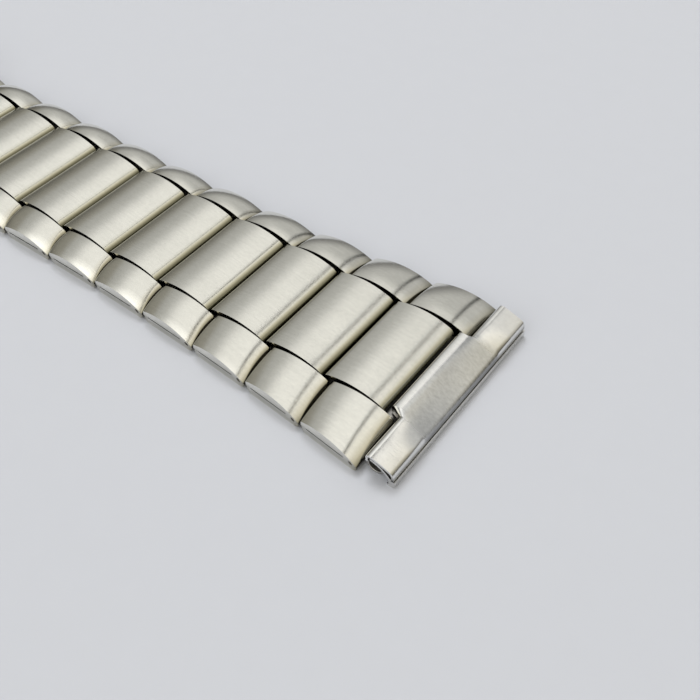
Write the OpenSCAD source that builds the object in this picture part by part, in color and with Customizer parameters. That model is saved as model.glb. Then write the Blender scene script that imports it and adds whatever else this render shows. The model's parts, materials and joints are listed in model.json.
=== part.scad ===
// Folded steel watch bracelet, laid out straight and flat with its crowned face up.
// X runs along the bracelet, Y across it, and Z = 0 is the face that lies on the wrist.
// Each half is drawn along its own length u, from the clasp outwards, and then placed.

/* [Bracelet] */
// Width of the end pieces, which is the gap between the lugs of the watch
lug_w = 18; // [16:0.5:22]
// Width of the bracelet where it is widest, at the first row
wide_w = 19.1; // [18:0.1:23]
// Width of the straight part of the bracelet
narrow_w = 14.9; // [13.6:0.1:16]
// Rows over which the bracelet tapers
taper_rows = 6; // [3:1:8]
// Rows in the long half, on the six o'clock side
six_rows = 11; // [4:1:12]
// Rows in the short half, on the twelve o'clock side
twelve_rows = 9; // [4:1:10]

/* [Links] */
// Distance from one row to the next
pitch = 5.7; // [5.4:0.05:6.5]
// Width of a centre link
centre_w = 9.5; // [8:0.1:10]
// Thickness of the folded sheet
sheet = 0.25; // [0.2:0.01:0.3]
// Height of the top of the crown
crest_z = 2.3; // [2.15:0.05:2.6]
// Radius of the crown along the bracelet
crown_r = 7; // [6.5:0.1:12]
// Radius of the rounded leading nose
nose_r = 0.9; // [0.7:0.05:1.1]
// Radius of the trailing top edge
tail_r = 0.3; // [0.27:0.01:0.4]
// Crown top of a centre link, measured from its trailing seam
centre_apex = 2.7; // [2.3:0.1:3]
// Crown top of a side link, measured from its trailing end
side_apex = 2.3; // [2:0.1:2.7]
// How far a side link falls from its inner edge to its outer edge
side_drop = 0.7; // [0.4:0.05:0.9]
// Radius of the lower trailing corner of a side link
heel_r = 0.55; // [0.4:0.05:0.7]
// Height of the slit between the upper and lower flange of a side link
slit_z = 0.62; // [0.5:0.02:0.8]
// Width of that slit
slit_w = 0.12; // [0.08:0.01:0.2]
// Step by which the lower flange sits in from the upper one
flange_step = 0.06; // [0.04:0.01:0.1]
// Gap between the two edges of the sheet under a link
fold_gap = 0.15; // [0.1:0.01:0.3]
// Thickness of the tie plate inside a row
tie_t = 0.5; // [0.3:0.05:0.6]

/* [Hinges] */
// Radius of a hinge pin
pin_r = 0.35; // [0.3:0.01:0.4]
// Radial play of a pin in the knuckle that turns on it
pin_play = 0.04; // [0.02:0.01:0.08]
// Radial clearance of a pin in the part that holds it
pin_seat = 0.02; // [0.01:0.01:0.03]
// How far a pin lies ahead of the seam between two centre links
hinge_in = 0.35; // [0.3:0.01:0.45]
// Room round a knuckle in the link that folds over it
knuckle_room = 0.13; // [0.1:0.01:0.2]
// Gap between one centre link and the next
seam_gap = 0.2; // [0.15:0.01:0.3]
// Gap between one side link and the next
side_gap = 0.15; // [0.12:0.01:0.25]
// Gap between a centre link and the side links
edge_gap = 0.25; // [0.15:0.01:0.3]
// How far a pin stops short of the outer faces
pin_sink = 0.3; // [0.2:0.05:0.5]

/* [End pieces] */
// Length of an end piece ahead of the seam
end_len = 3.75; // [3.5:0.05:4.5]
// Thickness of the sheets of an end piece
end_sheet = 0.2; // [0.15:0.01:0.22]
// Height of the raised middle of the cover
end_crest_z = 2.35; // [2.3:0.05:2.6]
// How far the ears lie below the raised middle
ear_drop = 0.25; // [0.2:0.05:0.3]
// Radius of the arched cover
end_r = 3; // [2.9:0.1:4]
// Place of the top of the arch, from the seam
end_apex = 1.3; // [1.1:0.05:1.5]
// Radius of the rounded front and rear edges of the cover
end_edge_r = 0.6; // [0.55:0.05:0.7]
// Height of the lower edge of the cover at the front
lip_z = 0.72; // [0.6:0.02:0.9]
// Radius of the spring bar hole
bar_hole_r = 0.65; // [0.55:0.01:0.7]
// Place of the spring bar hole, from the seam
bar_x = 1.95; // [1.9:0.05:2.1]

/* [Clasp] */
// Length of the clasp cover
clasp_len = 36; // [34:0.5:40]
// Thickness of the cover
clasp_sheet = 0.45; // [0.35:0.05:0.6]
// Height of the flat inside of the cover
clasp_roof_z = 2.7; // [2.6:0.05:3]
// Width of the folding blades
blade_w = 13; // [12.4:0.1:13.4]
// Thickness of the folding blades
blade_t = 0.6; // [0.5:0.05:0.65]
// Distance between the two hinges of the upper blade
blade_len = 21.5; // [20:0.5:23]
// Distance from one adjusting hole to the next
adjust_step = 2.5; // [2:0.1:3]

/* [Hidden] */
$fn = 48;
// Fine rounding of the large arcs
arc_fn = 200;
// Reach of a cutter that passes right through, and its overlap
far = 30;
slack = 0.05;
// Gap between two pieces that lie on each other
fit_gap = 0.03;

// Hinge geometry: the sheet is rolled round the pin and touches the ground plane
roll_r = pin_r + pin_play + sheet;
hinge_z = roll_r;
stagger = hinge_in + roll_r;
side_x0 = stagger + side_gap;
side_x1 = pitch + stagger;
inner_y = centre_w / 2 + edge_gap;
// The tie plate lies on the lower sheet, clear of the knuckle and of the rolled end
tie_inset = 0.4;
tie_x0 = side_x0 + sheet + tie_inset;
tie_x1 = pitch - roll_r - tie_inset;
tie_z0 = sheet + fit_gap / 2;
tie_end_gap = 0.15;
// How far the lower sheet of a centre link stays back, to clear the next knuckle
toe_back = 0.3;

// End piece
tube_r = bar_hole_r + end_sheet;
ear_x0 = stagger + side_gap;
end_flare = 0.7;
liner_in = end_sheet + fit_gap;
liner_rear = 0.6;
liner_lap = 0.1;
tube_room = 0.25;
foot_len = 0.65;
lip_out = 0.1;
lip_groove = 0.06;
end_front = end_len + lip_out;
web_x = end_len - liner_in - end_sheet;

// Clasp cover
cover_room = 0.2;
cover_in_w = narrow_w + 2 * cover_room;
cover_out_w = cover_in_w + 2 * clasp_sheet;
roof_top = clasp_roof_z + clasp_sheet;
cover_edge_r = 0.6;
wall_z0 = 0.35;
adjust_holes = 4;
adjust_first = 1;

// Folding blades, hinged to the cover and to each other
blade_roll_r = pin_r + pin_play + 0.28;
blade_step = 0.4;
cover_hinge_in = 2.5;
cover_hinge_x = clasp_len / 2 - cover_hinge_in;
cover_hinge_z = 1.4;
elbow_x = cover_hinge_x - blade_len;
elbow_z = 0.85;
upper_z0 = 1;
tongue_w = blade_w / 3;
tongue_gap = 0.15;
fork_w = centre_w + 2 * edge_gap;

// Pins that the two halves of the bracelet hang on
six_root_in = 0.8;
six_root_x = clasp_len / 2 - six_root_in;
twelve_root_x = clasp_len / 2 - 2 * adjust_step;

// Catch: a hook of the lower blade stands behind a bar of the cover
catch_x = 8;
catch_z = 2.15;
catch_r = 0.4;
hook_w = 3.6;
window_w = 4.4;
window_back = 4;
window_front = 3;

// Ends of the two halves, from the middle of the clasp, and the middle of the whole
six_end = six_root_x + six_rows * pitch - hinge_in + end_front;
twelve_end = twelve_root_x + twelve_rows * pitch - hinge_in + end_front;
mid_x = (six_end - twelve_end) / 2;

function two(n) = str(n < 10 ? "0" : "", n);
function half_w(u) = let (k = max(0, 1 - u / taper_rows))
    (narrow_w + (wide_w - narrow_w) * k * k) / 2;

steel = [0.80, 0.79, 0.76];
satin = [0.84, 0.83, 0.80];
bright = [0.88, 0.88, 0.87];
dark = [0.60, 0.59, 0.57];

// A side view, drawn in X and Z, made solid from y0 to y1
module across(y0, y1) {
    translate([0, y1, 0]) rotate([90, 0, 0]) linear_extrude(y1 - y0) children();
}

// A side view: an arc on top, rounded into an upright nose at x1 and tail at x0
module arch_2d(x0, x1, apex, top, r, nose, tail, inset = 0) {
    arc_z = top - r;
    nose_x = x1 - nose;
    nose_z = arc_z + sqrt(pow(r - nose, 2) - pow(nose_x - apex, 2));
    tail_x = x0 + tail;
    tail_z = arc_z + sqrt(pow(r - tail, 2) - pow(tail_x - apex, 2));
    meet_x1 = apex + (nose_x - apex) * (r - inset) / (r - nose);
    meet_x0 = apex + (tail_x - apex) * (r - inset) / (r - tail);
    intersection() {
        translate([apex, arc_z]) circle(r - inset, $fn = arc_fn);
        translate([meet_x0, inset]) square([meet_x1 - meet_x0, top]);
    }
    translate([nose_x, nose_z]) circle(nose - inset);
    translate([tail_x, tail_z]) circle(tail - inset);
    translate([meet_x0, inset]) square([x1 - inset - meet_x0, nose_z - inset]);
    translate([x0 + inset, inset]) square([meet_x0 + slack - x0 - inset, tail_z - inset]);
}

module pin_2d(x, z, r) {
    translate([x, z]) circle(r);
}

// Side view of a centre link, from its trailing seam at 0
module centre_outline_2d(inset = 0) {
    difference() {
        arch_2d(seam_gap, pitch, centre_apex, crest_z, crown_r, nose_r, tail_r, inset);
        pin_2d(pitch + hinge_in, hinge_z, roll_r + knuckle_room + inset);
        translate([pitch - toe_back - inset, -1]) square([far, hinge_z + 1]);
        translate([-1, -1]) square([1 + hinge_in, hinge_z + 1]);
    }
}

// A centre link is one folded sheet, rolled into a knuckle at its trailing end
module centre_link() {
    color(steel) across(-centre_w / 2, centre_w / 2) difference() {
        union() {
            difference() {
                centre_outline_2d();
                centre_outline_2d(sheet);
            }
            pin_2d(hinge_in, hinge_z, roll_r);
        }
        pin_2d(hinge_in, hinge_z, pin_r + pin_play);
        translate([(pitch - fold_gap) / 2, -1]) square([fold_gap, 1 + sheet + slack]);
    }
}

// Side view of a side link, rolled round the pin at its leading end
module side_outline_2d(inset = 0) {
    difference() {
        arch_2d(side_x0, side_x1, side_x0 + side_apex, crest_z, crown_r, nose_r, tail_r, inset);
        translate([side_x0 - 1, -1]) square([1 + heel_r, 1 + heel_r]);
        translate([pitch + hinge_in, -1]) square([far, 1 + hinge_z]);
    }
    pin_2d(side_x0 + heel_r, heel_r, heel_r - inset);
}

// The crown of a side link: it keeps its radius along u and falls away outwards
module side_crown(half, inset = 0) {
    fall_w = half - inner_y;
    fall_r = (fall_w * fall_w + side_drop * side_drop) / (2 * side_drop);
    translate([side_x0 + side_apex, 0, crest_z - crown_r]) rotate([-90, 0, 0])
        rotate_extrude($fn = arc_fn) {
            translate([0, inner_y - 1]) square([crown_r - inset, 1]);
            intersection() {
                translate([crown_r - fall_r, inner_y]) circle(fall_r - inset, $fn = arc_fn);
                translate([0, inner_y]) square([crown_r, fall_w + 1]);
            }
        }
}

// Plan of a side link: its outer edge follows the taper of the bracelet
module side_plan(tail_half, lead_half, inset = 0) {
    slope = (lead_half - tail_half) / pitch;
    y_at = function (x) tail_half + slope * (x - stagger) - inset;
    translate([0, 0, -1]) linear_extrude(crest_z + 2)
        polygon([[0, inner_y - 1], [far, inner_y - 1], [far, y_at(far)], [0, y_at(0)]]);
}

// The side link on the far side of the row
module side_link(tail_half, lead_half) {
    mean_half = (tail_half + lead_half) / 2;
    wall_y = tail_half - sheet;
    difference() {
        intersection() {
            across(inner_y, lead_half + 1) {
                side_outline_2d();
                pin_2d(pitch + hinge_in, hinge_z, roll_r);
            }
            side_plan(tail_half, lead_half);
            side_crown(mean_half);
        }
        intersection() {
            across(inner_y - 1, lead_half + 1) difference() {
                side_outline_2d(sheet);
                pin_2d(pitch + hinge_in, hinge_z, roll_r);
            }
            side_plan(tail_half, lead_half, sheet);
            side_crown(mean_half, sheet);
        }
        across(inner_y - 1, lead_half + 1) pin_2d(pitch + hinge_in, hinge_z, pin_r + pin_seat);
        across(wall_y - slack, lead_half + 1) translate([side_x0 + heel_r, slit_z])
            square([pitch - side_x0 - heel_r - roll_r / 2, slit_w]);
        across(inner_y - 1, wall_y - slack) translate([side_x0 + (side_x1 - side_x0 - fold_gap) / 2, -1])
            square([fold_gap, 1 + sheet + slack]);
        difference() {
            translate([0, inner_y, -1]) cube([far, far, 1 + slit_z]);
            side_plan(tail_half, lead_half, flange_step);
        }
    }
}

// Both side links of a row, with the tie plate and the pin that join them
module side_links(tail_half, lead_half) {
    color(satin) for (side = [0, 1]) mirror([0, side, 0]) side_link(tail_half, lead_half);
    tie_half = tail_half - sheet - tie_end_gap;
    color(dark) translate([tie_x0, -tie_half, tie_z0]) cube([tie_x1 - tie_x0, 2 * tie_half, tie_t]);
    pin_half = lead_half - pin_sink;
    color(bright) across(-pin_half, pin_half) pin_2d(pitch + hinge_in, hinge_z, pin_r);
}

// Side views of the arch of an end piece, for the raised middle and for the ears
module end_middle_2d(inset = 0) {
    arch_2d(seam_gap, end_len, end_apex, end_crest_z, end_r, end_edge_r, end_edge_r, inset);
}

module end_ear_2d(inset = 0) {
    arch_2d(ear_x0, end_len, end_apex, end_crest_z - ear_drop, end_r, end_edge_r, end_edge_r, inset);
}

// Plan of the raised middle, a little wider at the front
module end_middle_plan(inset = 0) {
    rear_half = centre_w / 2 - inset;
    front_half = centre_w / 2 + end_flare - inset;
    translate([0, 0, -1]) linear_extrude(end_crest_z + 2)
        polygon([[-1, -rear_half], [ear_x0, -rear_half], [end_len + 1, -front_half],
                 [end_len + 1, front_half], [ear_x0, rear_half], [-1, rear_half]]);
}

module end_shell(inset = 0) {
    half = lug_w / 2 + (inset > 0 ? 1 : 0);
    intersection() {
        across(-half, half) end_middle_2d(inset);
        end_middle_plan(inset);
    }
    across(-half, half) end_ear_2d(inset);
}

// The cover of an end piece: an arched sheet with a raised middle and two lower ears
module end_cover() {
    color(satin) difference() {
        end_shell();
        end_shell(end_sheet);
        across(-far, far) {
            translate([-1, -1]) square([bar_x + 1, hinge_z + roll_r + 1 + 2 * slack]);
            translate([-1, -1]) square([far, lip_z + 1]);
        }
        across(-inner_y, inner_y) pin_2d(bar_x, tube_r, tube_r + slack);
    }
}

// The arch of the inner sheet, which lies under the cover from x0 to the front
module liner_arch(x0, y0, y1) {
    across(y0, y1) intersection() {
        difference() {
            end_ear_2d(liner_in);
            end_ear_2d(liner_in + end_sheet);
        }
        translate([x0, lip_z - liner_lap]) square([far, far]);
    }
}

// The inner sheet of an end piece: it lines the ears and the front, and turns under as a lip
module end_liner() {
    half = lug_w / 2;
    color(bright) {
        liner_arch(bar_x + tube_r + tube_room, -half, half);
        for (side = [0, 1]) mirror([0, side, 0]) liner_arch(ear_x0 + liner_rear, inner_y, half);
        across(-half, half) {
            translate([web_x, end_sheet]) square([end_front - web_x, lip_z - lip_groove - end_sheet]);
            translate([end_front - foot_len, 0]) square([foot_len - end_sheet, end_sheet]);
            translate([end_front - end_sheet, end_sheet]) circle(end_sheet);
        }
    }
}

// The core of an end piece: one strip rolled round the first pin and the spring bar
module end_core() {
    color(dark) across(-centre_w / 2, centre_w / 2) difference() {
        union() {
            pin_2d(hinge_in, hinge_z, roll_r);
            pin_2d(bar_x, tube_r, tube_r);
            translate([hinge_in, 0]) square([bar_x - hinge_in, end_sheet]);
            translate([bar_x, end_sheet + fit_gap])
                square([web_x - fit_gap - bar_x, end_sheet]);
        }
        pin_2d(hinge_in, hinge_z, pin_r + pin_play);
        pin_2d(bar_x, tube_r, bar_hole_r);
    }
}

// Section of the clasp cover, its long upper edges rounded
module cover_section_2d() {
    half = cover_out_w / 2;
    translate([-half, wall_z0]) square([cover_out_w, roof_top - cover_edge_r - wall_z0]);
    translate([-half + cover_edge_r, wall_z0]) square([cover_out_w - 2 * cover_edge_r, roof_top - wall_z0]);
    for (s = [-1, 1]) translate([s * (half - cover_edge_r), roof_top - cover_edge_r]) circle(cover_edge_r);
}

// Side view of the clasp cover, its ends rounded at the roof
module cover_side_2d() {
    half = clasp_len / 2;
    translate([-half, 0]) square([clasp_len, roof_top - cover_edge_r]);
    translate([-half + cover_edge_r, 0]) square([clasp_len - 2 * cover_edge_r, roof_top]);
    for (s = [-1, 1]) translate([s * (half - cover_edge_r), roof_top - cover_edge_r]) circle(cover_edge_r);
}

// The cover of the clasp: a roofed channel with adjusting holes in its walls
module clasp_cover() {
    half = clasp_len / 2;
    color(steel) difference() {
        intersection() {
            translate([-half, 0, 0]) rotate([90, 0, 90]) linear_extrude(clasp_len) cover_section_2d();
            across(-far, far) cover_side_2d();
        }
        translate([-half - 1, -cover_in_w / 2, -1]) cube([clasp_len + 2, cover_in_w, 1 + clasp_roof_z]);
        across(-far, far) {
            for (i = [0:adjust_holes - 1])
                pin_2d(-twelve_root_x + (i - adjust_first) * adjust_step, hinge_z, pin_r + pin_seat);
            pin_2d(cover_hinge_x, cover_hinge_z, pin_r + pin_seat);
            pin_2d(catch_x, catch_z, catch_r + pin_seat);
        }
    }
}

module cross_pin(x, z, r, half) {
    color(bright) across(-half, half) pin_2d(x, z, r);
}

// The upper blade hangs in the cover and carries the elbow at its other end
module upper_blade() {
    blade_x0 = elbow_x + blade_roll_r + blade_step;
    color(steel) difference() {
        union() {
            across(-blade_w / 2, blade_w / 2) {
                pin_2d(cover_hinge_x, cover_hinge_z, blade_roll_r);
                translate([blade_x0, upper_z0]) square([cover_hinge_x - blade_x0, blade_t]);
            }
            across(-tongue_w / 2, tongue_w / 2) {
                pin_2d(elbow_x, elbow_z, blade_roll_r);
                translate([elbow_x, upper_z0]) square([blade_len / 2, blade_t]);
            }
        }
        across(-far, far) {
            pin_2d(cover_hinge_x, cover_hinge_z, pin_r + pin_play);
            pin_2d(elbow_x, elbow_z, pin_r + pin_play);
        }
        translate([catch_x - window_back, -window_w / 2, -1])
            cube([window_back + window_front, window_w, far]);
    }
}

// The lower blade lies under the upper one and holds the pin of the last row
module lower_blade() {
    slot_w = tongue_w + 2 * tongue_gap;
    color(steel) difference() {
        union() {
            across(-blade_w / 2, blade_w / 2) {
                pin_2d(elbow_x, elbow_z, blade_roll_r);
                translate([elbow_x, elbow_z - blade_roll_r]) square([blade_roll_r, blade_t]);
                translate([elbow_x + blade_roll_r / 2, 0])
                    square([six_root_x - elbow_x - blade_roll_r / 2, blade_t]);
                pin_2d(six_root_x, hinge_z, roll_r);
            }
            translate([catch_x + catch_r + slack, -hook_w / 2, 0])
                cube([blade_t, hook_w, catch_z + catch_r]);
        }
        translate([elbow_x - 1, -slot_w / 2, -1]) cube([1 + blade_roll_r + blade_step, slot_w, far]);
        translate([six_root_x - roll_r - knuckle_room, -fork_w / 2, -1]) cube([far, fork_w, far]);
        across(-far, far) {
            pin_2d(elbow_x, elbow_z, pin_r + pin_seat);
            pin_2d(six_root_x, hinge_z, pin_r + pin_seat);
        }
    }
}

module six_row_place(n) {
    translate([six_root_x - hinge_in + (six_rows - n) * pitch - mid_x, 0, 0]) children();
}

module twelve_row_place(n) {
    translate([-mid_x, 0, 0]) rotate([0, 0, 180])
        translate([twelve_root_x - hinge_in + (twelve_rows - n) * pitch, 0, 0]) children();
}

module clasp_place() {
    translate([-mid_x, 0, 0]) children();
}

for (n = [1:six_rows]) six_row_place(n) {
    centre_link();
    side_links(half_w(n), half_w(n - 1));
}
for (n = [1:twelve_rows]) twelve_row_place(n) {
    centre_link();
    side_links(half_w(n), half_w(n - 1));
}
six_row_place(0) end_cover();  // six_end_cover
six_row_place(0) end_liner();  // six_end_liner
six_row_place(0) end_core();  // six_end_core
twelve_row_place(0) end_cover();  // twelve_end_cover
twelve_row_place(0) end_liner();  // twelve_end_liner
twelve_row_place(0) end_core();  // twelve_end_core
clasp_place() clasp_cover();
clasp_place() upper_blade();  // clasp_upper_blade
clasp_place() lower_blade();  // clasp_lower_blade
clasp_place() cross_pin(cover_hinge_x, cover_hinge_z, pin_r, cover_out_w / 2 - slack);  // clasp_cover_pin
clasp_place() cross_pin(elbow_x, elbow_z, pin_r, blade_w / 2 - slack);  // clasp_elbow_pin
clasp_place() cross_pin(six_root_x, hinge_z, pin_r, blade_w / 2 - slack);  // clasp_link_pin
clasp_place() cross_pin(-twelve_root_x, hinge_z, pin_r, cover_out_w / 2 - slack);  // clasp_adjust_bar
clasp_place() cross_pin(catch_x, catch_z, catch_r, cover_out_w / 2 - slack);  // clasp_catch_bar
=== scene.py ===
"""A folded steel watch bracelet: crowned links on hinge pins, end pieces and a folding clasp."""

import json
import math

import bmesh
import bpy
from bpy.props import FloatProperty, FloatVectorProperty, PointerProperty
from mathutils import Matrix, Vector

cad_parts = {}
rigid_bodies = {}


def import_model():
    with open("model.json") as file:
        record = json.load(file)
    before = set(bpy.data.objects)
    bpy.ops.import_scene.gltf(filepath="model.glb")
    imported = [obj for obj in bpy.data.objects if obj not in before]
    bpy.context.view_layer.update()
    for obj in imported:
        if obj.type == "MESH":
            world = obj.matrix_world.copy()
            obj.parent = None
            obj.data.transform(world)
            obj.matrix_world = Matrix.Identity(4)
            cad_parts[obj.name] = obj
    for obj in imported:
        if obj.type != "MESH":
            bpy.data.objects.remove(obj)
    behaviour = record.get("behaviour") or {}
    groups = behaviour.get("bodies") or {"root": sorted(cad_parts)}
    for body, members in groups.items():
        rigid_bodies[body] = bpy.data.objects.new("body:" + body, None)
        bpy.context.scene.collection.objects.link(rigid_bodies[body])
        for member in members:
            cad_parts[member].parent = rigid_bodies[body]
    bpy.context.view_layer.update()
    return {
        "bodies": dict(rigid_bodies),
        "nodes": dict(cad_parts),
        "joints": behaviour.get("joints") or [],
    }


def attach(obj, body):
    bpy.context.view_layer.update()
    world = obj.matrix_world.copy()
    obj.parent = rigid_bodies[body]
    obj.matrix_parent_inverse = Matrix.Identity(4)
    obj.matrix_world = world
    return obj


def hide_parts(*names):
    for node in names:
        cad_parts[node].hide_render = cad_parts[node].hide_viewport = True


bl_info = {
    "name": "Steel Watch Bracelet",
    "version": (1, 0, 0),
    "blender": (4, 5, 0),
    "location": "View3D > Sidebar > Bracelet",
    "description": "Builds the links, end pieces and clasp of a folded steel watch bracelet",
    "category": "Object",
}

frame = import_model()
JOINT_X = {joint["name"]: joint["pos_m"][0] for joint in frame["joints"]}

# The long half runs towards positive X and the short one towards negative X.
HALVES = (("six", 1), ("twelve", -1))
ROWS = {half: sum(name.startswith(f"{half}_row") for name in frame["bodies"]) for half, _ in HALVES}

# Two coordinates of a mesh that lie closer than this count as the same.
NEAR = 1e-6

# Tilts of an end piece's cover, in degrees: behind its crest, and where its front slope starts
# and ends.
EAR_TILTS = (45, 14, 22)
MIDDLE_TILTS = (11.5, 28, 24)

# Painted shade and grime multiply the colour of the steel. Its stops are a place from 0 to 1 and a
# grey or a colour. The painted shade and grime run up from the wrist side to their height. They are
# darkest where shade falls, in the gaps under the noses and at a cover's lip, and olive where a
# nose or tail rounds down into a gap. The seam shade runs along a row from seam to seam.
SHADE_AND_GRIME_HEIGHT = 0.0025
CENTRE_SHADE_AND_GRIME = [(0.03, 1.0), (0.1, 0.06), (0.54, 0.06), (0.62, (0.34, 0.33, 0.26)),
                (0.7, (0.8, 0.79, 0.7)), (0.78, 1.0)]
SIDE_SHADE_AND_GRIME = [(0.03, 1.0), (0.1, 0.85), (0.34, 0.85), (0.48, 1.0)]
COVER_SHADE_AND_GRIME = [(0.03, 1.0), (0.1, 0.4), (0.38, 0.4), (0.5, 1.0)]
# Seam shade: painted shade and dirt, deepest in the gaps between the rows, with a cream and olive
# painted reflection where a nose rounds down into a gap.
SEAM_SHADE_DARK = (0.08, 0.075, 0.06)
SEAM_SHADE_AND_DIRT = [(0.018, SEAM_SHADE_DARK), (0.037, 1.0), (0.84, 1.0), (0.92, (0.9, 0.88, 0.82)),
             (0.963, (0.62, 0.6, 0.52)), (0.982, SEAM_SHADE_DARK)]
FLECK_SHADE = (0.93, 0.93, 0.93, 1.0)

# Depths of the brushing and of the faint waves, in metres.
BRUSH_DEPTH = 0.000012
WAVE_DEPTH = 0.00004

# Light of the room round the bracelet. Places along X and Y run from one side of the room to the
# other, and those up Z from the horizon to straight above. The near wall's brightness falls off
# towards the middle.
ROOM_ALONG = [
    (0.0, (0.26, 0.25, 0.21)), (0.09, (0.33, 0.32, 0.28)), (0.13, (0.47, 0.47, 0.45)),
    (0.185, (0.55, 0.55, 0.53)), (0.23, (0.68, 0.68, 0.66)), (0.28, (0.90, 0.895, 0.87)),
    (0.34, (1.03, 1.025, 0.99)), (0.54, (1.07, 1.06, 1.02)), (0.64, (1.03, 1.0, 0.91)),
    (0.75, (0.78, 0.74, 0.62)), (0.87, (0.46, 0.43, 0.34)), (0.92, (0.29, 0.27, 0.21)),
    (1.0, (0.15, 0.135, 0.10))]
ROOM_UP = [(0.0, 0.25), (0.15, 0.5), (0.36, 0.95), (0.45, 1.0)]
ROOM_BATTEN = [(0.49, 1.0), (0.499, 0.0), (0.513, 0.0), (0.522, 1.0)]
BATTEN_TILT = 0.15
ROOM_NEAR = [(0.1, 0.0), (0.24, 0.05), (0.38, 0.6)]
NEAR_WALL = 1.6
ROOM_FAR = [(0.77, 0.0), (0.88, 1.0)]
FAR_WALL = (0.585, 0.585, 0.57, 1)

# The table and the lamp, in metres and watts.
TABLE_HALF = 3.0
LAMP_SIDES = (0.5, 0.4)
LAMP_ENERGY = 4.8
LAMP_TONE = (1.0, 0.995, 0.98)
LAMP_PLACE = (-0.36, 0.32, 1.0)
LAMP_AIM = (0.03, 0, 0)

# The camera's place, the focal length in millimetres, and azimuth, elevation and roll in degrees.
CAMERA_PLACE = (0.09585, -0.04091, 0.05626)
CAMERA_LENS = 49.58
CAMERA_ANGLES = (36.96, 47.96, 0.47)


def size(name, description, default):
    """A length in metres that a user can change."""
    return FloatProperty(name=name, description=description, default=default, unit="LENGTH",
                         precision=6)


def colour(name, description, default):
    """A linear colour that a user can change."""
    return FloatVectorProperty(name=name, description=description, default=default, subtype="COLOR",
                               size=3, min=0, max=1)


class BraceletSizes(bpy.types.PropertyGroup):
    """Sizes of the rows, in metres."""

    pitch: size("Pitch", "Distance from one row to the next", 0.0057)
    hinge_in: size("Hinge offset", "How far a pin lies ahead of the seam of two links", 0.00035)
    centre_half: size("Centre half width", "Half the width of a centre link", 0.00475)
    edge_gap: size("Edge gap", "Gap between a centre link and the side links", 0.00025)
    wide_half: size("Half width at the lugs", "Half the width of the widest part", 0.00954)
    narrow_half: size("Half width at the clasp", "Half the width of the straight part", 0.00745)
    sheet: size("Sheet", "Thickness of the folded sheet", 0.00025)
    crest: size("Crest", "Height of the top of a link", 0.0023)
    crown_r: size("Crown radius", "Radius of a link along the bracelet", 0.007)
    nose_r: size("Nose radius", "Radius of the rounded leading nose", 0.0009)
    tail_r: size("Tail radius", "Radius of the trailing top edge", 0.0003)
    heel_r: size("Heel radius", "Radius of the lower trailing corner of a side link", 0.00055)
    seam_gap: size("Seam gap", "Gap between two centre links", 0.0002)
    side_gap: size("Side gap", "Gap between two side links", 0.00015)
    centre_apex: size("Centre crown", "Crown top of a centre link from its seam", 0.0027)
    side_apex: size("Side crown", "Crown top of a side link from its trailing end", 0.0023)
    side_drop: size("Side drop", "How far a side link falls outwards", 0.0007)
    lip_r: size("Lip radius", "Nose radius at the outer wall, where the crown is lowest", 0.00006)
    roll_r: size("Roll radius", "Outer radius of the sheet rolled round a pin", 0.00064)
    knuckle_room: size("Knuckle room", "Room round a knuckle under the next nose", 0.00013)
    toe_back: size("Toe", "How far the lower sheet stays back from the next knuckle", 0.0003)
    fold_gap: size("Fold gap", "Gap between the two edges of the sheet under a link", 0.00015)
    fold_lift: size("Fold lift", "How far these edges stand up from the flat side", 0.000005)
    slit_z: size("Slit height", "Height of the slit in the outer wall", 0.00062)
    slit_w: size("Slit width", "Width of that slit", 0.0002)
    slit_back: size("Slit end", "How far the slit ends behind the pin", 0.00067)
    flange_step: size("Flange step", "Step by which the lower flange sits in", 0.00006)
    pin_r: size("Pin radius", "Radius of a hinge pin", 0.00035)
    pin_hole_r: size("Pin hole radius", "Radius of the hole in the outer wall", 0.0002)
    pin_sink: size("Pin sink", "How far a pin stops short of the outer wall", 0.0003)
    tie_t: size("Tie thickness", "Thickness of the tie plate in a row", 0.0005)
    tie_back: size("Tie ends", "How far the tie plate ends short of the folded sheet", 0.0004)
    tie_side: size("Tie sides", "How far it stays back from the outer walls", 0.00015)
    tie_lift: size("Tie lift", "How far it lies above the lower sheet", 0.000015)
    ease: size("Edge rounding", "Rounding of the edges of the sheet", 0.00007)


class EndPieceSizes(bpy.types.PropertyGroup):
    """Sizes of the end pieces, in metres."""

    half: size("Half width", "Half the gap between the lugs", 0.009)
    length: size("Length", "Length ahead of the seam", 0.00375)
    sheet: size("Sheet", "Thickness of the cover", 0.0002)
    crest: size("Crest", "Height of the raised middle", 0.00235)
    ear_drop: size("Ear drop", "How far the ears lie below the middle", 0.00025)
    crest_r: size("Crest radius", "Radius of the crest of the raised middle", 0.00145)
    rear_r: size("Rear radius", "Radius of the rear edge of the raised middle", 0.0004)
    ear_crest_r: size("Ear crest radius", "Radius of the crest of an ear", 0.00045)
    ear_rear_r: size("Ear rear radius", "Radius of the rear edge of an ear", 0.0002)
    edge_r: size("Edge radius", "Radius of the front edge", 0.0006)
    lip_z: size("Lip height", "Lower edge of the cover at the front", 0.00078)
    rear_back: size("Rear gap", "How far the cover stays back from the seams", 0.0002)
    rear_z: size("Rear height", "Lower edge of the cover at the rear", 0.00138)
    flare: size("Flare", "How much wider the raised middle gets towards the front", 0.0007)
    flare_past: size("Flare reach", "How far past the front edge the flare is counted", 0.001)
    slope_w: size("Slope", "Width of the slope from the middle down to an ear", 0.0003)
    bar_x: size("Bar place", "Distance from the seam to the spring bar", 0.00195)
    tube_r: size("Tube radius", "Radius of the tube for the spring bar under an ear", 0.00078)
    tube_gap: size("Tube gap", "Gap between the tube and the core beside it", 0.00001)
    tube_sink: size("Tube sink", "How far the tube stops short of the side of an ear", 0.00035)


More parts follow.
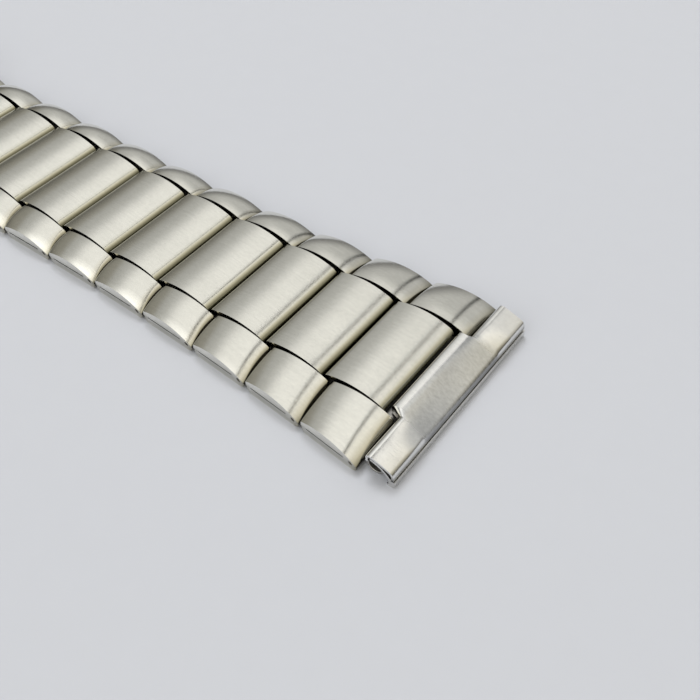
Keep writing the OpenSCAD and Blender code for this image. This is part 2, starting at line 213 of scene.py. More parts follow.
class BraceletFinish(bpy.types.PropertyGroup):
    """Colours of the steel and of the table."""

    steel: colour("Steel", "Brushed steel of the centre links", (0.775, 0.765, 0.712))
    satin: colour("Satin steel", "Steel of the side links", (0.785, 0.775, 0.72))
    polish: colour("Polished steel", "Ears and crest of an end piece", (0.87, 0.865, 0.845))
    facet: colour("Scuffed steel", "Scuffed middle of an end piece", (0.66, 0.665, 0.665))
    bright: colour("Bright steel", "Sheet inside the end pieces and the clasp", (0.76, 0.755, 0.74))
    dull: colour("Dull steel", "Pins, ties and rolled cores", (0.46, 0.45, 0.43))
    table: colour("Table", "Pale table top", (0.559, 0.578, 0.638))


class Socket:
    """A value in a node tree; arithmetic on it adds Math nodes."""

    def __init__(self, graph, socket):
        self.graph = graph
        self.socket = socket

    def _math(self, operation, *values):
        return self.graph.node("ShaderNodeMath", {"operation": operation}, dict(enumerate(values)))

    def __add__(self, other):
        return self._math("ADD", self, other)

    def __radd__(self, other):
        return self._math("ADD", other, self)

    def __sub__(self, other):
        return self._math("SUBTRACT", self, other)

    def __rsub__(self, other):
        return self._math("SUBTRACT", other, self)

    def __mul__(self, other):
        return self._math("MULTIPLY", self, other)

    def __rmul__(self, other):
        return self._math("MULTIPLY", other, self)

    def __abs__(self):
        return self._math("ABSOLUTE", self)


class Graph:
    """A material's or a world's node tree."""

    def __init__(self, owner):
        owner.use_nodes = True
        self.tree = owner.node_tree
        self.tree.nodes.clear()

    def node(self, kind, settings=None, inputs=None, output=0):
        """Adds a node, sets it, links or fills its inputs and returns one of its outputs."""
        made = self.tree.nodes.new(kind)
        for name, value in (settings or {}).items():
            if name == "stops":
                self._stops(made.color_ramp, value)
            else:
                setattr(made, name, value)
        for name, value in (inputs or {}).items():
            if isinstance(value, Socket):
                self.tree.links.new(value.socket, made.inputs[name])
            else:
                made.inputs[name].default_value = value
        return Socket(self, made.outputs[output]) if made.outputs else made

    @staticmethod
    def _stops(ramp, stops):
        """Fills a colour ramp; a number alone is a grey."""
        while len(ramp.elements) < len(stops):
            ramp.elements.new(1)
        for element, (position, tone) in zip(ramp.elements, stops):
            element.position = position
            element.color = (tone, tone, tone, 1) if isinstance(tone, (int, float)) else (*tone, 1)

    def ramp(self, value, stops):
        """What a colour ramp gives for a value."""
        return self.node("ShaderNodeValToRGB", {"stops": stops}, {"Fac": value})

    def noise(self, stretch, detail=2.0, roughness=0.5, turn=(0, 0, 0)):
        """Noise on Object coordinates, with a number of cells per metre along each axis."""
        place = self.node("ShaderNodeTexCoord", output="Object")
        place = self.node("ShaderNodeMapping", {},
                          {"Vector": place, "Scale": stretch, "Rotation": turn})
        return self.node("ShaderNodeTexNoise", {},
                         {"Vector": place, "Scale": 1.0, "Detail": detail, "Roughness": roughness})

    def split(self, vector):
        """The three parts of a vector."""
        parts = self.node("ShaderNodeSeparateXYZ", {}, {"Vector": vector}).socket.node
        return [Socket(self, part) for part in parts.outputs]

    def mix(self, factor, first, second, blend="MIX"):
        """Mixes two colours."""
        return self.node("ShaderNodeMix", {"data_type": "RGBA", "blend_type": blend},
                         {"Factor": factor, 6: first, 7: second}, output=2)

    def tint(self, shade, tone):
        """A colour multiplied by another."""
        return self.mix(1.0, shade, tone, "MULTIPLY")

    def finish(self, inputs):
        """The material's shader and its output."""
        shader = self.node("ShaderNodeBsdfPrincipled", {}, inputs)
        self.node("ShaderNodeOutputMaterial", {}, {"Surface": shader})


def opaque(tone, factor=1.0):
    """A colour with full alpha, made lighter or darker by a factor."""
    return (*(min(1.0, channel * factor) for channel in tone), 1.0)


def scuff_marks(graph, cloud):
    """Thin scratches in two directions, where the cloud is dense."""
    first, second = (graph.noise(stretch, detail=2.0, roughness=0.7, turn=(0, 0, turn))
                     for stretch, turn in (((900, 14000, 900), 0.9), ((700, 17000, 700), -0.5)))
    first = graph.ramp(first, [(0.66, 0.0), (0.74, 1.0)])
    second = graph.ramp(second, [(0.67, 0.0), (0.75, 1.0)])
    return (first + second) * graph.ramp(cloud, [(0.45, 0.0), (0.62, 1.0)])


def facet_mask(graph, x, y):
    """1 on the front slope of an end piece's raised middle, and 0 elsewhere.

    It works on squares, so it serves both halves. It fades from 4.5 to 5.4 mm across and from 72.9
    to 73.1 mm along.
    """
    across = graph.ramp(y * y * 10000, [(0.2, 0.0), (0.29, 1.0)])
    return (1 - across) * graph.ramp((x * x - 0.0053) * 20000, [(0.39, 0.0), (0.79, 1.0)])


def seam_shade_and_dirt(graph, x, seam, pitch):
    """Painted shade and dirt round every seam between two rows, from the place of one of them."""
    along = (abs(x) - seam) * (1 / pitch)
    return graph.ramp(graph.node("ShaderNodeMath", {"operation": "FRACT"}, {0: along}), SEAM_SHADE_AND_DIRT)


def steel_material(name, tone, brush, rough, scratch=0.5, wear=0.5, waves=1.0, shade_and_grime=None,
                   shaded_seams=None, middle=None):
    """Steel: brushed along one axis, faintly wavy, scratched and unevenly polished.

    The brush is its number of cells per metre along each axis. Scratch, wear and waves say how
    strong the scuffs, the stains and the waves are. Shade and grime is a list of stops from the
    wrist side up, for painted shade and grime low down. The shaded seams are the place of one seam
    and the pitch, for painted shade and dirt at every row. The middle is a duller tone and a
    rougher finish for the part between the ears.
    """
    material = bpy.data.materials.new(name)
    graph = Graph(material)
    fine = graph.noise(brush, detail=3.0, roughness=0.65)
    coarse = graph.noise([cells / 3.5 for cells in brush], detail=2.0)
    cloud = graph.noise((260, 260, 260), detail=3.0, roughness=0.6)
    swell = graph.noise((170, 210, 170), detail=1.0)
    scuffs = scuff_marks(graph, cloud)
    fleck = graph.noise((2300, 4200, 2300), detail=3.0, roughness=0.75)
    fleck = graph.ramp(fleck, [(0.3, 0.0), (0.7, 1.0)])
    x, y, z = graph.split(graph.node("ShaderNodeTexCoord", output="Object"))

    shade = graph.mix(graph.ramp(coarse, [(0.3, 0.0), (0.7, 1.0)]), opaque(tone, 0.97),
                      opaque(tone, 1.02))
    shade = graph.mix(graph.ramp(cloud, [(0.35, 0.0), (0.75, wear)]), shade, opaque(tone, 0.9))
    shade = graph.mix(fleck, graph.tint(shade, FLECK_SHADE), shade)
    streak = (fine - 0.5) * 0.14 + (coarse - 0.5) * 0.02
    roughness = rough + streak + (cloud - 0.5) * 0.18 * wear + scuffs * 0.1 * scratch
    height = fine * 0.5 + coarse * 0.05 + scuffs * -0.9 * scratch
    if middle:
        middle_tone, middle_rough = middle
        facet = facet_mask(graph, x, y)
        scuffed = graph.mix(fleck, opaque(middle_tone, 0.82), opaque(middle_tone, 1.1))
        shade = graph.mix(facet, shade, scuffed)
        roughness = roughness + facet * (middle_rough - rough + (fleck - 0.5) * 0.1)
        height = height + facet * fleck * 0.8
    # Painted shade and grime: darker low down, in the gaps under the noses and at the lip.
    if shade_and_grime:
        shade = graph.tint(shade, graph.ramp(z * (1 / SHADE_AND_GRIME_HEIGHT), shade_and_grime))
    # Painted shade and dirt round every seam between two rows.
    if shaded_seams:
        shade = graph.tint(shade, seam_shade_and_dirt(graph, x, *shaded_seams))

    brushing = graph.node("ShaderNodeBump", {},
                          {"Strength": 0.35, "Distance": BRUSH_DEPTH, "Height": height})
    bump = graph.node("ShaderNodeBump", {}, {"Strength": 0.6, "Distance": WAVE_DEPTH * waves,
                                             "Height": swell, "Normal": brushing})
    graph.finish({"Base Color": shade, "Metallic": 1.0, "Roughness": roughness, "Normal": bump})
    return material


def plain_material(name, tone, metallic, rough, spread):
    """A plain finish for hidden pieces and the table, uneven in tone and gloss by a spread."""
    material = bpy.data.materials.new(name)
    graph = Graph(material)
    cloud = graph.noise((420, 420, 420), detail=4.0, roughness=0.6)
    shade = graph.mix(graph.ramp(cloud, [(0.35, 0.0), (0.7, 1.0)]), opaque(tone, 1 - spread),
                      opaque(tone, 1))
    graph.finish({"Base Color": shade, "Metallic": metallic,
                  "Roughness": rough + (cloud - 0.5) * 2 * spread})
    return material


def finishes():
    """All the materials of the bracelet, made once and found again by name."""
    tones = bpy.context.scene.bracelet_finish
    sizes = bpy.context.scene.bracelet_sizes
    if "centre_steel_finish" not in bpy.data.materials:
        half, turn = HALVES[0]
        seam = row_shift(sizes, half, turn, ROWS[half]) + stagger(sizes) + sizes.side_gap / 2
        steel_material("centre_steel_finish", tones.steel, (700, 26000, 700), 0.15, waves=0.4,
                       shade_and_grime=CENTRE_SHADE_AND_GRIME)
        steel_material("side_steel_finish", tones.satin, (900, 20000, 900), 0.13, wear=0.6,
                       shade_and_grime=SIDE_SHADE_AND_GRIME, shaded_seams=(seam, sizes.pitch))
        steel_material("cover_steel_finish", tones.polish, (1500, 9000, 1500), 0.16, scratch=1.0,
                       wear=0.8, shade_and_grime=COVER_SHADE_AND_GRIME, middle=(tones.facet, 0.36))
        steel_material("clasp_steel_finish", tones.steel, (700, 26000, 700), 0.17, waves=0.4)
        steel_material("bright_steel_finish", tones.bright, (600, 12000, 600), 0.26, scratch=0.4)
        plain_material("dull_steel_finish", tones.dull, 1.0, 0.42, 0.12)
    return bpy.data.materials


def points(geometry):
    """The points among what a bmesh operator gives back."""
    return [item for item in geometry if isinstance(item, bmesh.types.BMVert)]


class Pen:
    """Draws a side view in X and Z into a new mesh, one edge after another."""

    def __init__(self, x, z):
        self.mesh = bmesh.new()
        self.order = self.mesh.verts.layers.int.new("order")
        self.vert = bmesh.ops.create_vert(self.mesh, co=(x, 0, z))["vert"][0]

    def line(self, x, z, steps=1):
        """A straight stretch to a point."""
        start = self.vert.co.copy()
        for step in range(1, steps + 1):
            made = bmesh.ops.extrude_vert_indiv(self.mesh, verts=[self.vert])["verts"][0]
            made.co = start.lerp(Vector((x, 0, z)), step / steps)
            self.vert = made

    def arc(self, x, z, angle, steps):
        """A turn round a centre; a positive angle runs clockwise, with X to the right."""
        spun = bmesh.ops.spin(self.mesh, geom=[self.vert], cent=(x, 0, z), axis=(0, 1, 0),
                              angle=angle, steps=steps)["geom_last"]
        self.vert = points(spun)[0]

    def number(self):
        """Numbers the points along the line, so that copies of a point can be told."""
        self.mesh.verts.index_update()
        for vert in self.mesh.verts:
            vert[self.order] = vert.index

    def places(self):
        """The place of each numbered point."""
        return {vert[self.order]: vert.co.copy() for vert in self.mesh.verts}


def widen(mesh, stations):
    """Draws the edges of a side view out across Y, through stations that rise from 0."""
    for vert in mesh.verts:
        vert.co.y = stations[0]
    rim = list(mesh.edges)
    for last, y in zip(stations, stations[1:]):
        made = bmesh.ops.extrude_edge_only(mesh, edges=rim)["geom"]
        bmesh.ops.translate(mesh, vec=(0, y - last, 0), verts=points(made))
        rim = [item for item in made if isinstance(item, bmesh.types.BMEdge)
               and all(abs(vert.co.y - y) < NEAR for vert in item.verts)]
    return rim


def meeting(first, first_r, second, second_r):
    """The upper of the two points where two circles meet, given as (x, z) centres and radii."""
    gap = Vector((second[0] - first[0], second[1] - first[1]))
    along = (first_r ** 2 - second_r ** 2 + gap.length_squared) / (2 * gap.length)
    aside = math.sqrt(first_r ** 2 - along ** 2)
    way = gap.normalized()
    return Vector(first) + way * along + Vector((-way.y, way.x)) * aside


def angle_from(centre, point):
    """The angle of a point seen from a centre, from X towards Z."""
    return math.atan2(point[1] - centre[1], point[0] - centre[0])


def crown_centres(x0, x1, apex, top, crown_r, nose_r, tail_r):
    """Centres of the crown, nose and tail arcs of an arched side view that runs from x0 to x1."""
    crown = (apex, top - crown_r)
    nose_x = x1 - nose_r
    tail_x = x0 + tail_r
    nose = (nose_x, crown[1] + math.sqrt((crown_r - nose_r) ** 2 - (nose_x - apex) ** 2))
    tail = (tail_x, crown[1] + math.sqrt((crown_r - tail_r) ** 2 - (tail_x - apex) ** 2))
    return crown, nose, tail


def new_object(name, data):
    """An object in the scene."""
    made = bpy.data.objects.new(name, data)
    bpy.context.scene.collection.objects.link(made)
    return made


def mesh_object(name, mesh, material):
    """An object of one finish made from a mesh, which is freed."""
    data = bpy.data.meshes.new(name)
    mesh.to_mesh(data)
    mesh.free()
    data.materials.append(material)
    return new_object(name, data)


def add_piece(name, mesh, body, material, replaced=(), turn=1, shift=0.0):
    """Turns a mesh drawn along a half of the bracelet into a finished object on its body."""
    if turn < 0:
        half_turn = Matrix.Rotation(math.pi, 3, "Z")
        bmesh.ops.rotate(mesh, verts=mesh.verts, cent=(0, 0, 0), matrix=half_turn)
    bmesh.ops.translate(mesh, verts=mesh.verts, vec=(shift, 0, 0))
    for face in mesh.faces:
        face.smooth = True
    piece = mesh_object(name, mesh, finishes()[material])
    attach(piece, body)
    if replaced:
        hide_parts(*replaced)
    return piece


def thicken(piece, thickness, even=True):
    """Gives a skin the thickness of its sheet, inwards."""
    wall = piece.modifiers.new("sheet", "SOLIDIFY")
    wall.thickness = thickness
    wall.offset = -1
    wall.use_even_offset = even


def ease_edges(piece, width, segments=2, angle=35):
    """Rounds the sharp edges of a piece."""
    rounding = piece.modifiers.new("ease", "BEVEL")
    rounding.width = width
    rounding.segments = segments
    rounding.limit_method = "ANGLE"
    rounding.angle_limit = math.radians(angle)
    rounding.harden_normals = True
    rounding.use_clamp_overlap = True


def outward(mesh):
    """Merges doubled points and turns the faces outwards."""
    bmesh.ops.remove_doubles(mesh, verts=mesh.verts, dist=1e-7)
    bmesh.ops.recalc_face_normals(mesh, faces=mesh.faces)


def half_width(sizes, rows_from_end, taper_rows=6):
    """Half the width of the bracelet, which tapers away from its end."""
    share = max(0.0, 1 - rows_from_end / taper_rows)
    return sizes.narrow_half + (sizes.wide_half - sizes.narrow_half) * share ** 2


def stagger(sizes):
    """How far the side links of a row lie ahead of its centre link."""
    return sizes.hinge_in + sizes.roll_r


def row_shift(sizes, half, turn, row):
    """Place of a row's trailing seam along the whole bracelet."""
    return JOINT_X[f"{half}_hinge_{row:02d}"] - turn * (sizes.pitch + sizes.hinge_in)


def centre_link_mesh(sizes):
    """One folded sheet: knuckle, tail, crown, nose, recess for the next knuckle, and toe."""
    knuckle = (sizes.hinge_in, sizes.roll_r)
    following = (sizes.pitch + sizes.hinge_in, sizes.roll_r)
    room_r = sizes.roll_r + sizes.knuckle_room
    crown, nose, tail = crown_centres(sizes.seam_gap, sizes.pitch, sizes.centre_apex, sizes.crest,
                                      sizes.crown_r, sizes.nose_r, sizes.tail_r)
    fold_x = (sizes.pitch - sizes.fold_gap) / 2
    toe_x = sizes.pitch - sizes.toe_back
    rise = math.acos((sizes.seam_gap - knuckle[0]) / sizes.roll_r)
    tip = meeting(nose, sizes.nose_r, following, room_r)
    toe_angle = -math.pi + math.acos((following[0] - toe_x) / room_r)
    pen = Pen(fold_x, 0)
    pen.line(knuckle[0], 0, 2)
    pen.arc(*knuckle, 1.5 * math.pi - rise, 18)
    pen.line(sizes.seam_gap, tail[1], 2)
    pen.arc(*tail, math.pi - angle_from(crown, tail), 5)
    pen.arc(*crown, angle_from(crown, tail) - angle_from(crown, nose), 26)
    pen.arc(*nose, angle_from(crown, nose) - angle_from(nose, tip), 12)
    pen.arc(*following, angle_from(following, tip) - (2 * math.pi + toe_angle), 10)
    pen.line(toe_x, 0, 1)
    pen.line(fold_x + sizes.fold_gap, 0, 2)
    widen(pen.mesh, [-sizes.centre_half, 0, sizes.centre_half])
    bmesh.ops.recalc_face_normals(pen.mesh, faces=pen.mesh.faces)
    return pen.mesh


def side_profile(sizes, fall):
    """Side view of a side link whose crown lies lower by a fall, numbered along the sheet."""
    x0 = stagger(sizes) + sizes.side_gap
    x1 = sizes.pitch + stagger(sizes)
    middle = (x0 + x1) / 2
    nose_r = sizes.nose_r + (sizes.lip_r - sizes.nose_r) * fall / sizes.side_drop
    crown, nose, tail = crown_centres(x0, x1, x0 + sizes.side_apex, sizes.crest - fall,
                                      sizes.crown_r - fall, nose_r, sizes.tail_r)
    pen = Pen(middle - sizes.fold_gap / 2, sizes.fold_lift)
    pen.line(x0 + sizes.heel_r, 0)
    pen.arc(x0 + sizes.heel_r, sizes.heel_r, math.pi / 2, 6)
    pen.line(x0, tail[1])
    pen.arc(*tail, math.pi - angle_from(crown, tail), 6)
    pen.arc(*crown, angle_from(crown, tail) - angle_from(crown, nose), 26)
    pen.arc(*nose, angle_from(crown, nose), 16)
    pen.line(x1, sizes.roll_r)
    pen.arc(sizes.pitch + sizes.hinge_in, sizes.roll_r, math.pi / 2, 8)
    pen.line(middle + sizes.fold_gap / 2, sizes.fold_lift)
    pen.number()
    return pen


def wall_faces(mesh, level):
    """The faces that close a side link at its outer end."""
    return [face for face in mesh.faces if all(vert.co.y > level - NEAR for vert in face.verts)]


def close_wall(mesh, rim, level, hole, slit):
    """Fills the outer end of a side link, leaving a round hole and a slit open.

    The hole is x, z and a radius, and the slit two places along X and two along Z. The side view is
    enlarged meanwhile, since the fill joins points less than 0.03 mm apart.
    """
    ends = [vert for edge in rim for vert in edge.verts
            if sum(other in rim for other in vert.link_edges) == 1]
    rim.append(bmesh.ops.contextual_create(mesh, geom=ends)["edges"][0])
    grown = 1000
    bmesh.ops.scale(mesh, vec=(grown, 1, grown), verts=mesh.verts)
    x, z, radius = (value * grown for value in hole)
    place = Matrix.Translation((x, level, z)) @ Matrix.Rotation(math.pi / 2, 4, "X")
    ring = bmesh.ops.create_circle(mesh, segments=20, radius=radius, cap_ends=False, matrix=place)
    ring_edges = list({edge for vert in ring["verts"] for edge in vert.link_edges})
    bmesh.ops.triangle_fill(mesh, edges=rim + ring_edges, normal=(0, 1, 0))
    x0, x1, z0, z1 = (value * grown for value in slit)
    for place, facing in (((0, 0, z0), (0, 0, 1)), ((0, 0, z1), (0, 0, 1)),
                          ((x0, 0, 0), (1, 0, 0)), ((x1, 0, 0), (1, 0, 0))):
        wall = wall_faces(mesh, level)
        if facing[0]:
            wall = [face for face in wall if z0 < face.calc_center_median().z < z1]
        edges = list({edge for face in wall for edge in face.edges})
        verts = list({vert for face in wall for vert in face.verts})
        bmesh.ops.bisect_plane(mesh, geom=wall + edges + verts, dist=NEAR, plane_co=place,
                               plane_no=facing)
    opening = []
    for face in wall_faces(mesh, level):
        centre = face.calc_center_median()
        if x0 < centre.x < x1 and z0 < centre.z < z1:
            opening.append(face)
    bmesh.ops.delete(mesh, geom=opening, context="FACES")
    bmesh.ops.scale(mesh, vec=(1 / grown, 1, 1 / grown), verts=mesh.verts)


def side_link_mesh(sizes, tail_half, lead_half, side):
    """A side link: crowned both ways, rolled round the pin, closed by a slit outer wall."""
    inner = sizes.centre_half + sizes.edge_gap
    pin = (sizes.pitch + sizes.hinge_in, sizes.roll_r)
    fall_w = (tail_half + lead_half) / 2 - inner
    fall_r = (fall_w ** 2 + sizes.side_drop ** 2) / (2 * sizes.side_drop)
    steps = 12
    lines = []
    for step in range(steps + 1):
        out = fall_w * step / steps
        pen = side_profile(sizes, fall_r - math.sqrt(fall_r ** 2 - out ** 2))
        lines.append(pen.places())
        pen.mesh.free()
    pen = side_profile(sizes, 0)
    mesh = pen.mesh
    rim = widen(mesh, list(range(steps + 1)))
    for vert in mesh.verts:
        place = lines[round(vert.co.y)][vert[pen.order]]
        vert.co.x, vert.co.z = place.x, place.z
    slit = (stagger(sizes) + sizes.side_gap + sizes.heel_r, pin[0] - sizes.slit_back, sizes.slit_z,
            sizes.slit_z + sizes.slit_w)
    close_wall(mesh, rim, steps, (*pin, sizes.pin_hole_r), slit)
    slope = (lead_half - tail_half) / sizes.pitch
    for vert in mesh.verts:
        outer = tail_half + slope * (vert.co.x - stagger(sizes))
        if vert.co.z < sizes.slit_z + NEAR:
            outer -= sizes.flange_step
        vert.co.y = (inner + vert.co.y / steps * (outer - inner)) * side
    outward(mesh)
    return mesh


def join_meshes(meshes):
    """One mesh from several, which are freed."""
    joined = bmesh.new()
    for mesh in meshes:
        part = bpy.data.meshes.new("part")
        mesh.to_mesh(part)
        mesh.free()
        joined.from_mesh(part)
        bpy.data.meshes.remove(part)
    return joined


def pin_and_tie_mesh(sizes, tail_half, lead_half):
    """The hinge pin of a row and the plate that ties its links together."""
    mesh = bmesh.new()
    x = sizes.pitch + sizes.hinge_in
    turned = Matrix.Translation((x, 0, sizes.roll_r)) @ Matrix.Rotation(math.pi / 2, 4, "X")
    bmesh.ops.create_cone(mesh, cap_ends=True, segments=24, radius1=sizes.pin_r,
                          radius2=sizes.pin_r, depth=2 * (lead_half - sizes.pin_sink),
                          matrix=turned)
    x0 = stagger(sizes) + sizes.side_gap + sizes.sheet + sizes.tie_back
    x1 = sizes.pitch - sizes.roll_r - sizes.tie_back
    half = tail_half - sizes.sheet - sizes.tie_side
    z = sizes.sheet + sizes.tie_t / 2 + sizes.tie_lift
    plate = Matrix.Diagonal((x1 - x0, 2 * half, sizes.tie_t, 1))
    bmesh.ops.create_cube(mesh, size=1, matrix=Matrix.Translation(((x0 + x1) / 2, 0, z)) @ plate)
    return mesh


def end_profile(sizes, x0, top, rear_r, crest_r, tilts):
    """Side view of the cover of an end piece, numbered from its rear to its lip."""
    back, first, last = (math.radians(tilt) for tilt in tilts)
    crest = (x0 + rear_r + (crest_r - rear_r) * math.sin(back), top - crest_r)
    rear = (x0 + rear_r, crest[1] + (crest_r - rear_r) * math.cos(back))
    run = sizes.length - sizes.edge_r * (1 - math.sin(last)) - crest[0] - crest_r * math.sin(first)
    slope_r = run / (math.sin(last) - math.sin(first))
    slope = (crest[0] + (crest_r - slope_r) * math.sin(first),
             crest[1] + (crest_r - slope_r) * math.cos(first))
    nose = (slope[0] + (slope_r - sizes.edge_r) * math.sin(last),
            slope[1] + (slope_r - sizes.edge_r) * math.cos(last))
    pen = Pen(x0, sizes.rear_z)
    pen.line(x0, rear[1], 2)
    pen.arc(*rear, math.pi / 2 - back, 8)
    pen.arc(*crest, back + first, 14)
    pen.arc(*slope, last - first, 10)
    pen.arc(*nose, math.pi / 2 - last, 12)
    pen.line(sizes.length, sizes.lip_z, 2)
    pen.number()
    return pen


def end_cover_mesh(sizes, links):
    """The cover of an end piece: a raised middle that slopes down to two ears."""
    ear_x0 = stagger(links) + links.side_gap + sizes.rear_back
    ear = end_profile(sizes, ear_x0, sizes.crest - sizes.ear_drop, sizes.ear_rear_r,
                      sizes.ear_crest_r, EAR_TILTS)
    middle = end_profile(sizes, links.seam_gap + sizes.rear_back, sizes.crest, sizes.rear_r,
                         sizes.crest_r, MIDDLE_TILTS)
    ear_line, middle_line = ear.places(), middle.places()
    ear.mesh.free()
    mesh = middle.mesh
    # Each station is a side, 0 for the middle, and a share of the ear's or the middle's width.
    stations = [(-1, 1), (-1, 0.5), (-1, 0), (0, -1), (0, 0), (0, 1), (1, 0), (1, 0.5), (1, 1)]
    widen(mesh, list(range(len(stations))))
    for vert in mesh.verts:
        side, share = stations[round(vert.co.y)]
        place = (ear_line if side else middle_line)[vert[middle.order]]
        grown = max(0.0, place.x - ear_x0) / (sizes.length + sizes.flare_past - ear_x0)
        inner = links.centre_half + sizes.flare * grown
        if side:
            y = side * (inner + share * (sizes.half - inner))
        else:
            y = share * (inner - sizes.slope_w)
        vert.co = (place.x, y, place.z)
    outward(mesh)
    return mesh


def tube_mesh(x, z, radii, y0, y1):
    """A plain tube across the bracelet, with its outer and inner radius."""
    mesh = bmesh.new()
    turned = Matrix.Translation((x, y0, z)) @ Matrix.Rotation(math.pi / 2, 4, "X")
    rims = set()
    for radius in radii:
        ring = bmesh.ops.create_circle(mesh, segments=36, radius=radius, cap_ends=False,
                                       matrix=turned)
        rims.update(edge for vert in ring["verts"] for edge in vert.link_edges)
    bmesh.ops.bridge_loops(mesh, edges=list(rims))
    grown = bmesh.ops.extrude_face_region(mesh, geom=list(mesh.faces))["geom"]
    bmesh.ops.translate(mesh, vec=(0, y1 - y0, 0), verts=points(grown))
    bmesh.ops.recalc_face_normals(mesh, faces=mesh.faces)
    return mesh


def end_tubes_mesh(sizes, links):
    """The two ends of the spring bar's tube, under the ears."""
    inner = links.centre_half + sizes.tube_gap
    outer = sizes.half - sizes.tube_sink
    radii = (sizes.tube_r, sizes.tube_r - sizes.sheet)
    return join_meshes([tube_mesh(sizes.bar_x, sizes.tube_r, radii, *span)
                        for span in ((-outer, -inner), (inner, outer))])


def cad_copy_mesh(node):
    """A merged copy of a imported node, with its flat faces joined again."""
    mesh = bmesh.new()
    mesh.from_mesh(frame["nodes"][node].data)
    bmesh.ops.remove_doubles(mesh, verts=mesh.verts, dist=NEAR)
    bmesh.ops.dissolve_limit(mesh, angle_limit=math.radians(0.5), use_dissolve_boundaries=False,
                             verts=mesh.verts, edges=mesh.edges)
    return mesh


def refinish(node, material):
    """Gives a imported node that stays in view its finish."""
    frame["nodes"][node].data.materials[0] = finishes()[material]


class BRACELET_OT_rows(bpy.types.Operator):
    """Build the centre links, side links, pins and ties of every row"""

    bl_idname = "bracelet.rows"
    bl_label = "Rows of links"

    def execute(self, context):
        sizes = context.scene.bracelet_sizes
        for half, turn in HALVES:
            for row in range(1, ROWS[half] + 1):
                name = f"{half}_row_{row:02d}"
                shift = row_shift(sizes, half, turn, row)
                widths = (half_width(sizes, row), half_width(sizes, row - 1))
                centre = add_piece(f"{name}_centre_shell", centre_link_mesh(sizes), name,
                                   "centre_steel_finish",
                                   [f"{name}_centre_link"], turn, shift)
                pair = join_meshes([side_link_mesh(sizes, *widths, side) for side in (-1, 1)])
                sides = add_piece(f"{name}_side_shells", pair, name, "side_steel_finish",
                                  [f"{name}_side_links"], turn, shift)
                for shell in (centre, sides):
                    thicken(shell, sizes.sheet, even=False)
                    ease_edges(shell, sizes.ease)
                inner = add_piece(f"{name}_pin_and_tie", pin_and_tie_mesh(sizes, *widths), name,
                                  "dull_steel_finish", turn=turn, shift=shift)
                ease_edges(inner, sizes.ease)
        return {"FINISHED"}


class BRACELET_OT_end_pieces(bpy.types.Operator):
    """Build the covers of the end pieces and finish their inner sheets and cores"""

    bl_idname = "bracelet.end_pieces"
    bl_label = "End pieces"

    def execute(self, context):
        sizes = context.scene.end_piece_sizes
        links = context.scene.bracelet_sizes
        for half, turn in HALVES:
            shift = JOINT_X[f"{half}_hinge_01"] - turn * links.hinge_in
            body = f"{half}_end"
            cover = add_piece(f"{body}_cover_shell", end_cover_mesh(sizes, links), body,
                              "cover_steel_finish", [f"{body}_cover"], turn, shift)
            thicken(cover, sizes.sheet)
            ease_edges(cover, links.ease)
            tubes = add_piece(f"{body}_bar_tubes", end_tubes_mesh(sizes, links), body,
                              "dull_steel_finish", turn=turn, shift=shift)
            ease_edges(tubes, links.ease)
            refinish(f"{body}_liner", "bright_steel_finish")
            refinish(f"{body}_core", "dull_steel_finish")
        return {"FINISHED"}


class BRACELET_OT_clasp(bpy.types.Operator):
    """Build the clasp's cover and folding blades, and give its bars and pins their finish"""

    bl_idname = "bracelet.clasp"
    bl_label = "Folding clasp"

    def execute(self, context):
        plan = (("clasp_cover", "clasp_body", "clasp_steel_finish", "centre_steel"),
                ("clasp_upper_blade", "upper_blade", "bright_steel_finish", "bright_steel"),
                ("clasp_lower_blade", "lower_blade", "bright_steel_finish", "bright_steel"))
        for node, body, material, slot in plan:
            piece = add_piece(f"{node}_shell", cad_copy_mesh(node), body, material, [node])
            ease_edges(piece, context.scene.bracelet_sizes.ease)
        for node in ("clasp_cover_pin", "clasp_elbow_pin", "clasp_link_pin", "clasp_adjust_bar",
                     "clasp_catch_bar"):
            refinish(node, "dull_steel_finish")
        return {"FINISHED"}


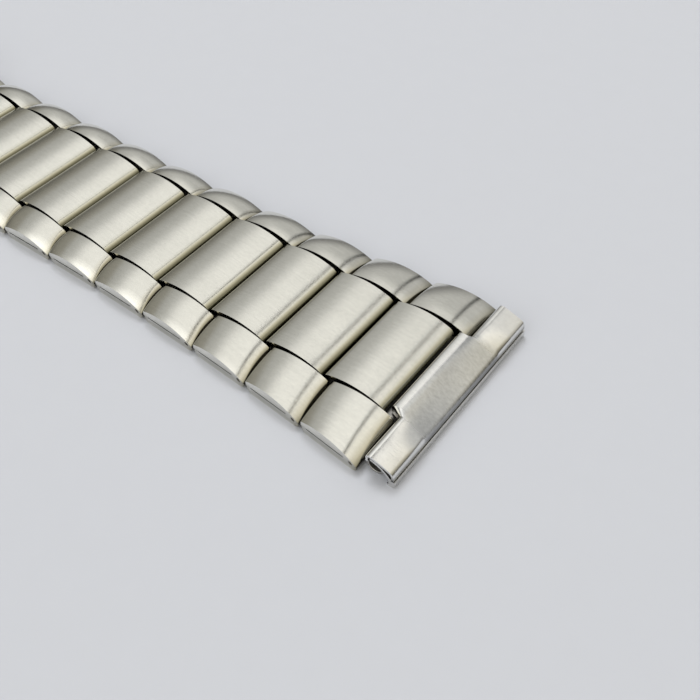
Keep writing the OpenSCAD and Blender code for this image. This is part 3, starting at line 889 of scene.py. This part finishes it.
class BRACELET_OT_stage(bpy.types.Operator):
    """Set the table, the light and the camera"""

    bl_idname = "bracelet.stage"
    bl_label = "Stage"

    def execute(self, context):
        tones = context.scene.bracelet_finish
        mesh = bmesh.new()
        bmesh.ops.create_grid(mesh, x_segments=4, y_segments=4, size=TABLE_HALF)
        table = mesh_object("table_top", mesh,
                            plain_material("table_finish", tones.table, 0.0, 0.8, 0.008))
        self.keep_below(table)
        self.sky(context.scene)
        self.lamp()
        self.camera(context.scene)
        context.scene.view_settings.view_transform = "Standard"
        return {"FINISHED"}

    @staticmethod
    def keep_below(table):
        """Keeps the table below every body, so that it lies lower under a half that folds down."""
        for name, body in frame["bodies"].items():
            corners = [corner for piece in body.children if piece.type == "MESH"
                       for corner in piece.bound_box]
            if not corners:
                continue
            xs = [corner[0] for corner in corners]
            zs = [corner[2] for corner in corners]
            for x in (min(xs), max(xs)):
                for z in (min(zs), max(zs)):
                    foot = new_object(f"{name}_foot", None)
                    foot.empty_display_size = 0.0005
                    foot.location = (x, 0, z)
                    foot.parent = body
                    limit = table.constraints.new("FLOOR")
                    limit.target = foot
                    limit.floor_location = "FLOOR_NEGATIVE_Z"

    @staticmethod
    def sky(scene):
        """A soft room: a broad bright ceiling, greyer walls, a dark batten and a warm side."""
        world = bpy.data.worlds.new("room")
        scene.world = world
        graph = Graph(world)
        x, y, z = graph.split(graph.node("ShaderNodeTexCoord", output="Generated"))
        across = y * 0.5 + 0.5
        ceiling = graph.mix(graph.ramp(across, ROOM_FAR), graph.ramp(x * 0.5 + 0.5, ROOM_ALONG),
                            FAR_WALL)
        tilted = x + y * BATTEN_TILT - z * BATTEN_TILT
        batten = graph.ramp(tilted * 0.5 + 0.5, ROOM_BATTEN)
        near = NEAR_WALL - graph.ramp(across, ROOM_NEAR)
        lit = graph.tint(ceiling, batten * graph.ramp(z, ROOM_UP) * near)
        shader = graph.node("ShaderNodeBackground", {}, {"Color": lit, "Strength": 1.0})
        graph.node("ShaderNodeOutputWorld", {}, {"Surface": shader})

    @staticmethod
    def lamp():
        """One large soft lamp from behind and from the left."""
        window = bpy.data.lights.new("window", "AREA")
        window.shape = "RECTANGLE"
        window.size, window.size_y = LAMP_SIDES
        window.energy = LAMP_ENERGY
        window.color = LAMP_TONE
        holder = new_object("window", window)
        holder.visible_glossy = False
        holder.location = LAMP_PLACE
        aim = Vector(LAMP_AIM) - holder.location
        holder.rotation_euler = aim.to_track_quat("-Z", "Y").to_euler()

    @staticmethod
    def camera(scene):
        """The photograph's view of the long half, from the wearer's right."""
        lens = bpy.data.cameras.new("camera")
        lens.lens = CAMERA_LENS
        lens.sensor_width = 36
        lens.clip_start = 0.005
        lens.clip_end = 20
        holder = new_object("camera", lens)
        azimuth, elevation, roll = (math.radians(angle) for angle in CAMERA_ANGLES)
        back = Vector((math.sin(azimuth) * math.cos(elevation),
                       -math.cos(azimuth) * math.cos(elevation), math.sin(elevation)))
        turn = back.to_track_quat("Z", "Y").to_matrix() @ Matrix.Rotation(-roll, 3, "Z")
        holder.matrix_world = Matrix.Translation(CAMERA_PLACE) @ turn.to_4x4()
        scene.camera = holder


class BRACELET_PT_panel(bpy.types.Panel):
    """Lists the pieces of the bracelet in the sidebar"""

    bl_idname = "BRACELET_PT_panel"
    bl_label = "Watch bracelet"
    bl_space_type = "VIEW_3D"
    bl_region_type = "UI"
    bl_category = "Bracelet"

    def draw(self, context):
        for operator in OPERATORS:
            self.layout.operator(operator.bl_idname)
        for group in (context.scene.bracelet_sizes, context.scene.end_piece_sizes,
                      context.scene.bracelet_finish):
            box = self.layout.box()
            for name in group.bl_rna.properties.keys():
                if name not in ("rna_type", "name"):
                    box.prop(group, name)


OPERATORS = (BRACELET_OT_rows, BRACELET_OT_end_pieces, BRACELET_OT_clasp, BRACELET_OT_stage)
CLASSES = (BraceletSizes, EndPieceSizes, BraceletFinish, *OPERATORS, BRACELET_PT_panel)


def register():
    for item in CLASSES:
        bpy.utils.register_class(item)
    bpy.types.Scene.bracelet_sizes = PointerProperty(type=BraceletSizes)
    bpy.types.Scene.end_piece_sizes = PointerProperty(type=EndPieceSizes)
    bpy.types.Scene.bracelet_finish = PointerProperty(type=BraceletFinish)


def unregister():
    del bpy.types.Scene.bracelet_finish
    del bpy.types.Scene.end_piece_sizes
    del bpy.types.Scene.bracelet_sizes
    for item in reversed(CLASSES):
        bpy.utils.unregister_class(item)


def main():
    register()
    bpy.ops.bracelet.rows()
    bpy.ops.bracelet.end_pieces()
    bpy.ops.bracelet.clasp()
    bpy.ops.bracelet.stage()


if __name__ == "__main__":
    main()
